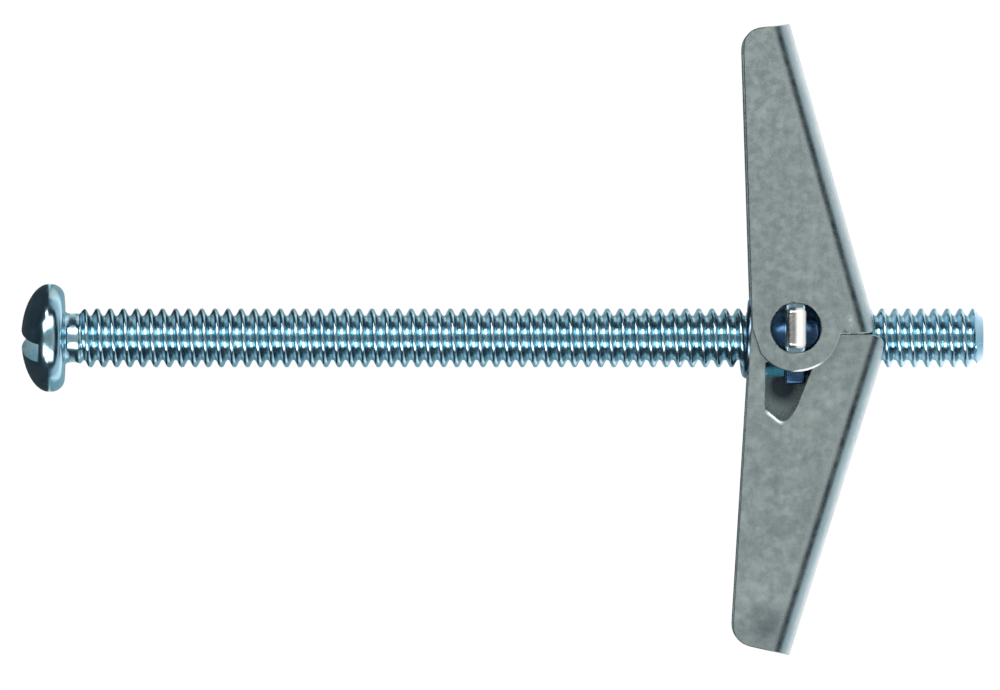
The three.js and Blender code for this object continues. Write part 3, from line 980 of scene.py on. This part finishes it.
# What polished metal sees of the table, from beyond the head to far beyond the tip.
FLOOR_GLOW = [(0.0, (0.03, 0.04, 0.05)), (0.0405, (0.04, 0.05, 0.06)),
              (0.0425, (0.8, 1.0, 1.0)), (0.0475, (0.8, 1.0, 1.0)),
              (0.0513, (0.1, 0.15, 0.18)), (0.06, (0.3, 0.45, 0.5)),
              (0.1625, (0.32, 0.5, 0.56)), (0.2, (1.3, 1.32, 1.4)), (0.28, (1.25, 1.28, 1.36)),
              (0.42, (0.9, 1.0, 1.08)), (1.0, (0.62, 0.76, 0.86))]

# The table is also bright to one side of the screw, from under the head onward.
SIDE_GLOW = [(0.0, (0.0, 0.0, 0.0)), (0.12, (0.0, 0.0, 0.0)), (0.22, (0.9, 0.85, 0.76)),
             (1.0, (0.9, 0.85, 0.76))]

# Radiance of the room by height, as (sine of the elevation, colour).
BRIGHT_SIDE = [(0.0, (0.62, 0.76, 0.86)), (0.22, (0.54, 0.68, 0.78)), (0.34, (0.01, 0.02, 0.03)),
               (0.68, (0.01, 0.02, 0.03)), (0.78, (0.6, 0.63, 0.64)), (0.9, (0.46, 0.5, 0.51)),
               (0.97, (0.34, 0.38, 0.385)), (1.0, (0.33, 0.37, 0.375))]
DARK_SIDE = [(0.0, (0.03, 0.04, 0.05)), (0.3, (0.02, 0.03, 0.04)), (0.65, (0.03, 0.05, 0.06)),
             (0.85, (0.2, 0.23, 0.24)), (0.95, (0.32, 0.36, 0.37)), (1.0, (0.33, 0.37, 0.375))]


def make_world():
    """A studio that is bright low down toward +X and dark toward -X, and grey overhead."""
    world = bpy.data.worlds.new("studio")
    bpy.context.scene.world = world
    world.use_nodes = True
    nodes, links = world.node_tree.nodes, world.node_tree.links
    way = split_place(nodes, links, "Generated")
    toward = nodes.new("ShaderNodeMapRange")
    toward.inputs["From Min"].default_value = SIDES_SPAN[0]
    toward.inputs["From Max"].default_value = SIDES_SPAN[1]
    links.new(way["X"], toward.inputs["Value"])
    sides = nodes.new("ShaderNodeMix")
    sides.data_type = "RGBA"
    links.new(toward.outputs["Result"], sides.inputs["Factor"])
    for key, stops in (("A", DARK_SIDE), ("B", BRIGHT_SIDE)):
        links.new(by_value(nodes, links, way["Z"], stops, 0, 1), sides.inputs[key])
    links.new(sides.outputs["Result"], nodes["Background"].inputs["Color"])


def softbox(name, place, target, size, radiance):
    """A white rectangle of light at a place, turned to face the target."""
    size_x, size_y = size
    light = bpy.data.lights.new(name, "AREA")
    light.shape = "RECTANGLE"
    light.size, light.size_y = size_x, size_y
    light.energy = radiance * math.pi * size_x * size_y
    light.color = (1.0, 1.0, 1.0)
    obj = bpy.data.objects.new(name, light)
    obj.location = place
    obj.rotation_mode = "QUATERNION"
    obj.rotation_quaternion = (Vector(target) - Vector(place)).to_track_quat("-Z", "Y")
    obj.visible_camera = False
    bpy.context.scene.collection.objects.link(obj)


def make_lights(centre):
    """Two long strips beside the screw, and two small boxes low across the head."""
    for x, size, radiance, angles in (
            (STRIP_X, STRIP_SIZE, STRIP_RADIANCE, (("upper_strip", 32), ("lower_strip", -35))),
            (BOX_X, BOX_SIZE, BOX_RADIANCE, (("upper_box", 52), ("lower_box", -44)))):
        for name, degrees in angles:
            tilt = math.radians(degrees)
            place = centre + Vector((x, LIGHT_DISTANCE * math.sin(tilt),
                                     LIGHT_DISTANCE * math.cos(tilt)))
            softbox(name, place, centre, size, radiance)


def make_camera(centre, length):
    """Straight above, with the object filling the frame from side to side."""
    data = bpy.data.cameras.new("camera")
    data.lens = LENS
    data.sensor_width = SENSOR_WIDTH
    data.clip_end = 10
    camera = bpy.data.objects.new("camera", data)
    view_width = length * FRAME_MARGIN
    distance = view_width / data.sensor_width * data.lens
    camera.location = (centre.x + CAMERA_SHIFT_X * MM, centre.y + CAMERA_SHIFT_Y * MM, distance)
    bpy.context.scene.collection.objects.link(camera)
    bpy.context.scene.camera = camera


low, high = (Vector(corner) for corner in cad_box)
middle = (low + high) / 2
bpy.context.scene.view_settings.view_transform = "Standard"
make_camera(middle, high.x - low.x)
make_stage()
make_world()
make_lights(middle)

wing_low, wing_high = (Vector(corner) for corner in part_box("inner_wing"))
# Where the painted shade near the inner wing's tip is centred.
tip_shade_place = (wing_low.x + 2.6 * MM, wing_low.y + 2.1 * MM, wing_high.z)
wing_zinc = wing_finish(tip_shade_place)
screw_zinc = screw_finish()
nut_zinc = nut_finish()
spring_wire = spring_finish()

screw = make_screw(screw_zinc)
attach(screw, "screw")
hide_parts("machine_screw")

outer = make_wing("wing_outer", OUTER_WING, 1, False, wing_zinc)
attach(outer, "outer_wing")
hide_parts("outer_wing")

inner = make_wing("wing_inner", INNER_WING, -1, True, wing_zinc)
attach(inner, "inner_wing")
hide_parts("inner_wing")

nut = make_nut(nut_zinc)
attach(nut, "nut")
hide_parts("trunnion_nut")

coil, legs = make_spring(spring_wire)
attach(coil, "nut")
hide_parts("wing_spring")
for (leg, start, end), body in zip(legs, ("inner_wing", "outer_wing")):
    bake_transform(leg)
